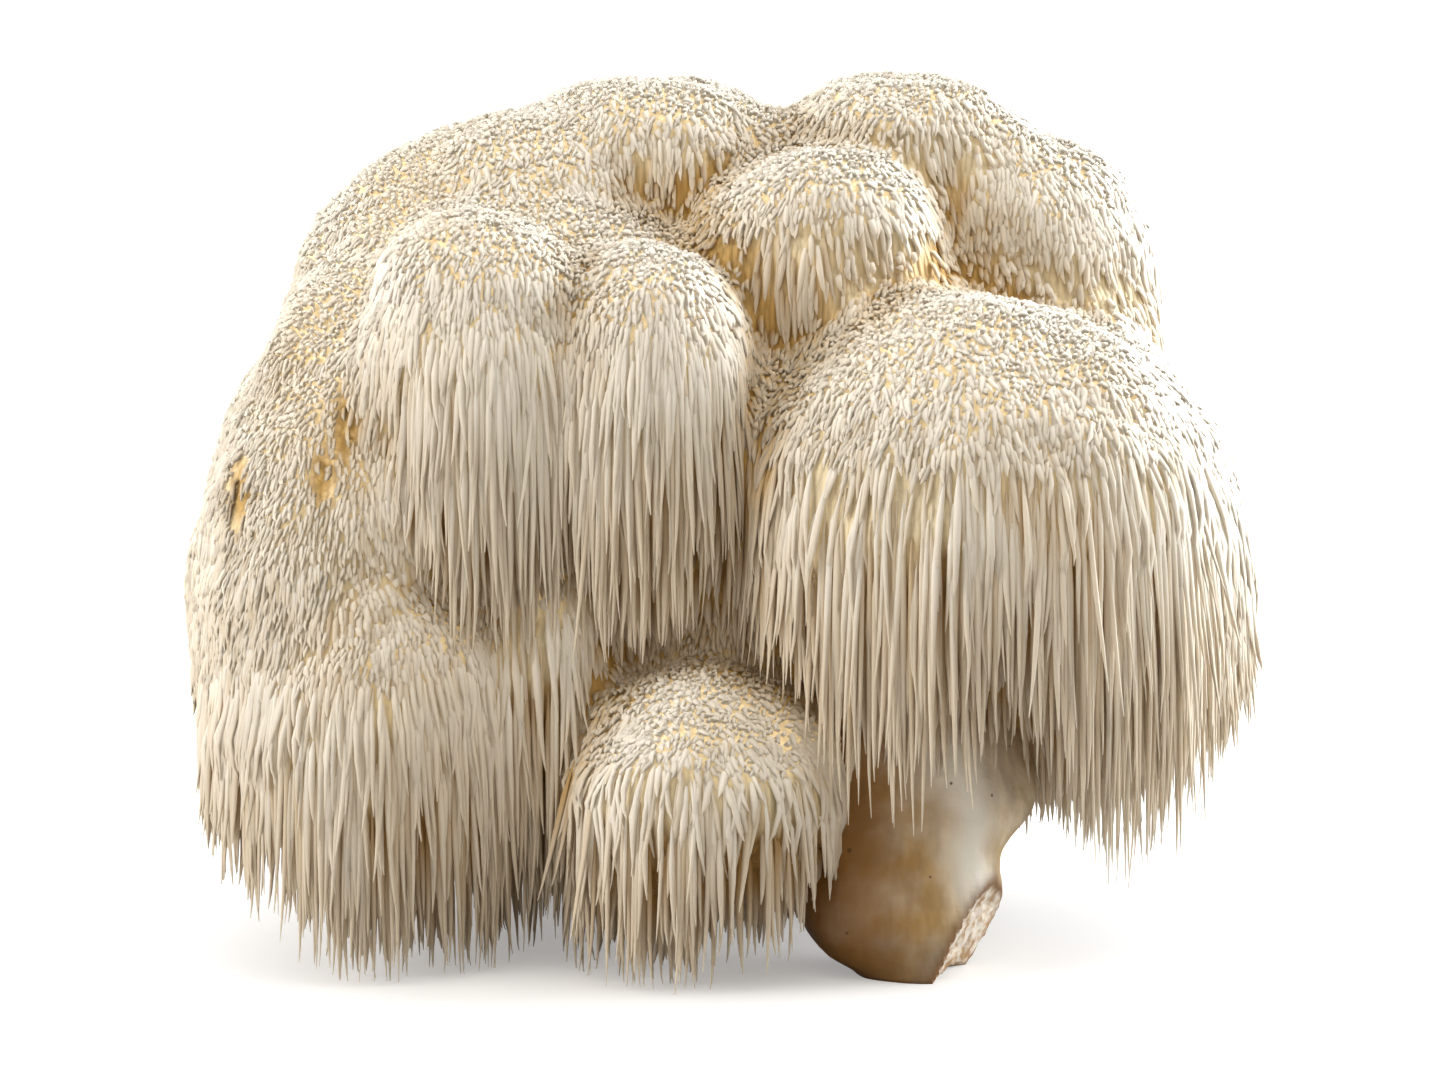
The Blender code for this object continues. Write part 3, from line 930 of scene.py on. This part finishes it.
def group_result(tree, group, inputs):
    """The result of a group, placed with values of its own."""
    made = tree.node("ShaderNodeGroup", node_tree=group)
    return tree.fill(made, inputs).outputs[0]


def shader_of(name):
    material = bpy.data.materials.new(name)
    material.use_nodes = True
    return material, Nodes(material.node_tree), material.node_tree.nodes["Principled BSDF"]


# %% Spines
# How much of the lobe's own direction shades a spine, on flat flesh and on steep flesh.
LOBE_SHARE = (0.88, 0.42)


def spine_material():
    material, tree, shader = shader_of("spine_cream")
    along, tone, layer = (tree.attribute(name) for name in ("along", "tone", "layer"))
    pit, steep, fine, under = (tree.attribute(name) for name in ("pit", "steep", "fine", "deep"))
    inputs = {
        "Cream": CREAM,
        "Golden": GOLDEN,
        # The golden painted shade of a recess is on the roots of its spines, and fades towards their tips.
        "Pit": tree.times(tree.ranged(along, 0.0, 0.8, 1.0, 0.4), pit),
        # Spines of the inner layers get darker painted shade, which is what the eye sees between the outer
        # ones.
        "Inner shade": tree.times(tree.ranged(layer, 0.0, 0.55, 0.9, 0.0), steep),
        "Under": under,
    }
    colour = group_result(tree, COLOUR_GROUP, inputs)
    colour = tree.mixed(1.0, colour, tree.ranged(tone, 0.0, 1.0, 0.95, 1.03), "MULTIPLY")
    # A curtain turns from cream to beige towards its tips: painted shade on its lower part.
    colour = tree.mixed(tree.times(along, steep), colour, CURTAIN_SHADE)
    # Soft flesh scatters light between neighbours, so each spine is shaded partly like the lobe under it,
    # and the short even spines of the left side look like velvet.
    soft = tree.most(tree.ranged(steep, 0.0, 1.0, *LOBE_SHARE), tree.ranged(fine, 0.0, 1.0, 0.0, 0.9))
    own = tree.node("ShaderNodeNewGeometry").outputs["Normal"]
    normal = tree.mixed_vector(soft, own, tree.attribute("out", VECTOR))
    # Stubs glow all over, and hanging spines at their roots.
    root_glow = tree.ranged(along, 0.0, 0.7, 1.0, 0.08)
    root_glow = tree.times(root_glow, tree.ranged(steep, 0.0, 1.0, 1.0, 0.30))
    hanging = tree.minus(steep, tree.ranged(fine, 0.0, 1.0, 0.0, 0.55))
    share = tree.most(root_glow, tree.ranged(hanging, 0.0, 1.0, 0.60, 0.0))
    glow = {"Colour": colour, "Share": share, "Pit": pit, "Kept": 0.15}
    inputs = {
        "Base Color": colour,
        "Normal": tree.vector("NORMALIZE", normal),
        "Emission Color": group_result(tree, GLOW_GROUP, glow),
        "Emission Strength": SPINE_GLOW,
        "Roughness": 0.5,
        "Specular IOR Level": 0.2,
        "Subsurface Weight": 0.3,
        "Subsurface Radius": (1.0, 1.0, 1.0),
        "Subsurface Scale": 0.0005,
    }
    tree.fill(shader, inputs)
    return material


# %% Flesh and stem
NUB_SCALE = 900.0


def flesh_material():
    """Golden flesh. Nubs on the tops and cords down the sides fill the gaps between the modelled spines."""
    material, tree, shader = shader_of("flesh_golden")
    place = tree.node("ShaderNodeTexCoord").outputs["Object"]
    pit, steep = tree.attribute("pit"), tree.attribute("steep")
    squeezed = tree.node("ShaderNodeMapping", {"Vector": place, "Scale": (1.0, 1.0, 0.08)}).outputs[0]
    nubs, cords = (
        tree.node("ShaderNodeTexVoronoi", {"Vector": vector, "Scale": NUB_SCALE}).outputs["Distance"]
        for vector in (place, squeezed)
    )
    relief = tree.node("ShaderNodeMix", {0: steep, 2: nubs, 3: cords}).outputs[0]
    inputs = {"Cream": FLESH_CREAM, "Golden": FLESH_GOLDEN, "Pit": pit, "Under": tree.attribute("deep")}
    colour = group_result(tree, COLOUR_GROUP, inputs)
    # The hollows between the nubs and cords are painted darker: painted shade.
    colour = tree.mixed(1.0, colour, tree.ranged(relief, 0.3, 0.8, 1.0, 0.72), "MULTIPLY")
    fade = tree.ranged(steep, 0.2, 1.0, 1.0, 0.12)
    glow = {"Colour": colour, "Share": fade, "Pit": pit, "Kept": 0.25}
    bump = {"Height": relief, "Strength": 0.8, "Distance": 0.0012}
    inputs = {
        "Base Color": colour,
        "Normal": tree.node("ShaderNodeBump", bump, invert=True).outputs["Normal"],
        "Emission Color": group_result(tree, GLOW_GROUP, glow),
        "Emission Strength": FLESH_GLOW,
        "Roughness": 0.6,
    }
    tree.fill(shader, inputs)
    return material


def stem_material():
    """Cream skin, tan patches, small dots and a white torn scar, with brown painted shade to the left,
    below and on top and a painted highlight on the ridge.
    """
    material, tree, shader = shader_of("stem_tan")
    place = tree.node("ShaderNodeTexCoord").outputs["Object"]
    x, y, z = tree.split(place)
    patches = tree.ranged(tree.noise(place, 75.0, 5.0)["Fac"], 0.40, 0.56)
    colour = tree.mixed(patches, STEM_TAN, STEM_CREAM)
    gold = tree.ranged(tree.noise(place, 130.0, 3.0)["Fac"], 0.52, 0.66, 0.0, 0.7)
    colour = tree.mixed(gold, colour, STEM_GOLD)
    stretched = tree.node("ShaderNodeMapping", {"Vector": place, "Scale": (1.0, 1.0, 0.22)}).outputs[0]
    fibres = tree.ranged(tree.noise(stretched, 420.0, 3.0)["Fac"], 0.35, 0.65, 0.80, 1.14)
    colour = tree.mixed(1.0, colour, fibres, "MULTIPLY")
    # Painted shade: brown to the left, near the foot and at the top.
    colour = tree.mixed(tree.ranged(x, 0.036, 0.021, 0.0, 0.85), colour, STEM_LEFT_SHADE)
    colour = tree.mixed(tree.ranged(z, 0.010, 0.0, 0.0, 0.7), colour, STEM_FOOT_SHADE)
    colour = tree.mixed(tree.ranged(z, 0.020, 0.036, 0.0, 0.45), colour, STEM_SHADE)
    # Painted highlight: pale along the ridge.
    colour = tree.mixed(tree.attribute("ridge"), colour, STEM_RIDGE_HIGHLIGHT)
    # Each cell draws its own size of dot, and most are too small to see.
    dots = tree.node("ShaderNodeTexVoronoi", {"Vector": place, "Scale": 320.0}).outputs
    drawn = tree.node("ShaderNodeSeparateColor", {"Color": dots["Color"]}).outputs["Red"]
    inside = tree.minus(tree.ranged(drawn, 0.55, 1.0, 0.0, 0.15), dots["Distance"])
    colour = tree.mixed(tree.ranged(inside, 0.0, 0.06, 0.0, 0.9), colour, STEM_DOTS)
    colour = tree.mixed(tree.attribute("scar_edge"), colour, SCAR_EDGE)
    torn = tree.noise(place, 420.0, 4.0)["Fac"]
    scar = tree.mixed(tree.ranged(torn, 0.40, 0.58), SCAR_DARK, SCAR_PALE)
    colour = tree.mixed(tree.attribute("scar"), colour, scar)
    bump = {"Height": torn, "Strength": 0.5, "Distance": 0.0005}
    inputs = {
        "Base Color": colour,
        "Normal": tree.node("ShaderNodeBump", bump).outputs["Normal"],
        "Roughness": 0.42,
        "Specular IOR Level": 0.25,
        "Subsurface Weight": 0.25,
        "Subsurface Radius": (1.0, 0.6, 0.3),
        "Subsurface Scale": 0.002,
    }
    tree.fill(shader, inputs)
    return material


spine_cream = spine_material()
flesh.data.materials.clear()
flesh.data.materials.append(flesh_material())
stem.data.materials.append(stem_material())

# %% [markdown]
# ## Growing the spines
#
# One piece may hold only so many triangles, so the flesh is shared out: each region is a bed, a copy of the
# faces that belong to a few lobes, and the same tree runs on every bed.

# %% Beds and spines
REGIONS = {
    "top": ("top_centre", "top_left", "top_right", "crown", "bridge"),
    "left": ("left_shoulder", "left_flank", "left_bridge"),
    "middle": ("centre_left", "centre", "between_low", "bottom_centre", "stem_side"),
    "right": ("right_front", "right_inner"),
    "right_side": ("right_shoulder", "right_flank"),
    "low_left": ("bottom_left", "low_left_knob"),
    "back": ("back_top", "back_left", "back_right"),
    "back_low": ("back_low_left", "back_low_right"),
}
FIRST_SEED = 3
# What only the tree reads is left off the finished spines.
WORKING_NAMES = ("root", "lean", "length", "thick", "owner", "reach", "dense", "grow")
flesh.data.shade_smooth()


def bed_of(region, names):
    """A copy of the flesh with only the faces whose points belong to the named lobes."""
    wanted = {NAMES.index(name) for name in names}
    work = bmesh.new()
    work.from_mesh(flesh.data)
    layer = work.verts.layers.float["owner"]
    unwanted = [face for face in work.faces if round(face.verts[0][layer]) not in wanted]
    bmesh.ops.delete(work, geom=unwanted, context="FACES")
    return object_from(work, "bed_" + region)


work = bmesh.new()
for obj in (flesh, stem):
    work.from_mesh(obj.data)
barrier = object_from(work, "barrier")
grown = []
for region, names in REGIONS.items():
    bed = bed_of(region, names)
    values = {"Flesh": barrier, "Seed": FIRST_SEED + len(grown), "Material": spine_cream}
    piece = run_tree(bed, spines, values, "spines_" + region)
    bpy.data.objects.remove(bed, do_unlink=True)
    for name in WORKING_NAMES:
        piece.data.attributes.remove(piece.data.attributes[name])
    grown.append(piece)
    print(piece.name, "triangles:", sum(len(face.vertices) - 2 for face in piece.data.polygons))
bpy.data.objects.remove(barrier, do_unlink=True)

# %% [markdown]
# ## Ride and replace
#
# Every piece rides on the body that carries it, and the CAD node that it stands for is hidden.

# %% Hand the pieces over
for piece in [flesh] + grown:
    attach(piece, "root")
    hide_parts("head")
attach(stem, "root")
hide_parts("stem")

# %% [markdown]
# ## Table, light and camera
#
# A pale table, a room that is brighter behind than in front, a soft light from above, a cool one from the
# right, two weaker ones from the left, and a camera a little above the table, as the photo was taken.

# %% Floor
FLOOR_SIZE = 8.0
TABLE_SEEN = 0.84
TABLE_BOUNCE = 0.42
TABLE_GLOW = 0.30


def build_floor():
    mesh = bpy.data.meshes.new("floor")
    half = FLOOR_SIZE / 2
    corners = [(-half, -half, 0), (half, -half, 0), (half, half, 0), (-half, half, 0)]
    mesh.from_pydata(corners, [], [(0, 1, 2, 3)])
    material, tree, shader = shader_of("pale_table")
    # The table looks white but throws little light up, so the undersides stay brown as in the photo.
    seen = tree.node("ShaderNodeLightPath").outputs["Is Camera Ray"]
    inputs = {
        "Base Color": tree.ranged(seen, 0.0, 1.0, TABLE_BOUNCE, TABLE_SEEN),
        "Emission Color": WHITE,
        "Emission Strength": tree.ranged(seen, 0.0, 1.0, 0.0, TABLE_GLOW),
        "Roughness": 0.5,
    }
    tree.fill(shader, inputs)
    mesh.materials.append(material)
    return new_object("floor", mesh)


build_floor()

# %% Lights
WORLD_FRONT = 0.50
WORLD_BACK = 1.10
FRONT_TINT = (1.0, 0.91, 0.78, 1)
NEAR_WHITE = (1.0, 0.98, 0.95)
LIT = (0.0, 0.0, 0.06)


def light_world():
    """The room is brightest behind and above the mushroom, and dimmer and warmer on the camera's side."""
    world = bpy.data.worlds.new("studio")
    bpy.context.scene.world = world
    world.use_nodes = True
    sky = Nodes(world.node_tree)
    x, y, z = sky.split(sky.node("ShaderNodeTexCoord").outputs["Generated"])
    behind = sky.math("MULTIPLY_ADD", z, 0.25, y)
    tint = sky.mixed(sky.ranged(behind, -0.8, 0.2), FRONT_TINT, WHITE)
    strength = sky.ranged(behind, -0.8, 0.8, WORLD_FRONT, WORLD_BACK, interpolation_type="SMOOTHSTEP")
    sky.fill(sky.tree.nodes["Background"], {"Color": tint, "Strength": strength})


def soft_light(name, place, size, power, colour):
    data = bpy.data.lights.new(name, "AREA")
    data.size = size
    data.energy = power
    data.color = colour
    light = new_object(name, data)
    light.location = place
    light.rotation_euler = (Vector(LIT) - Vector(place)).to_track_quat("-Z", "Y").to_euler()


light_world()
soft_light("key", (0.15, 0.05, 0.85), 0.7, 1.7, NEAR_WHITE)
soft_light("right_rim", (0.80, 0.18, 0.30), 0.5, 9.0, (0.90, 0.95, 1.0))
soft_light("left_front", (-0.85, -0.32, 0.38), 0.6, 4.8, NEAR_WHITE)
soft_light("left_rim", (-0.75, 0.45, 0.25), 0.5, 2.2, (1.0, 1.0, 1.0))

# %% Camera
CAMERA_DISTANCE = 0.640
CAMERA_RISE = math.radians(6)
CAMERA_TARGET = Vector((0.0, 0.0, 0.0605))
camera_data = bpy.data.cameras.new("camera")
camera_data.lens = 100.0
camera_data.sensor_width = 36.0
camera = new_object("camera", camera_data)
backwards = Vector((0, -math.cos(CAMERA_RISE), math.sin(CAMERA_RISE)))
camera.location = CAMERA_TARGET + backwards * CAMERA_DISTANCE
camera.rotation_euler = (CAMERA_TARGET - camera.location).to_track_quat("-Z", "Y").to_euler()
bpy.context.scene.camera = camera
bpy.context.scene.view_settings.view_transform = "Standard"
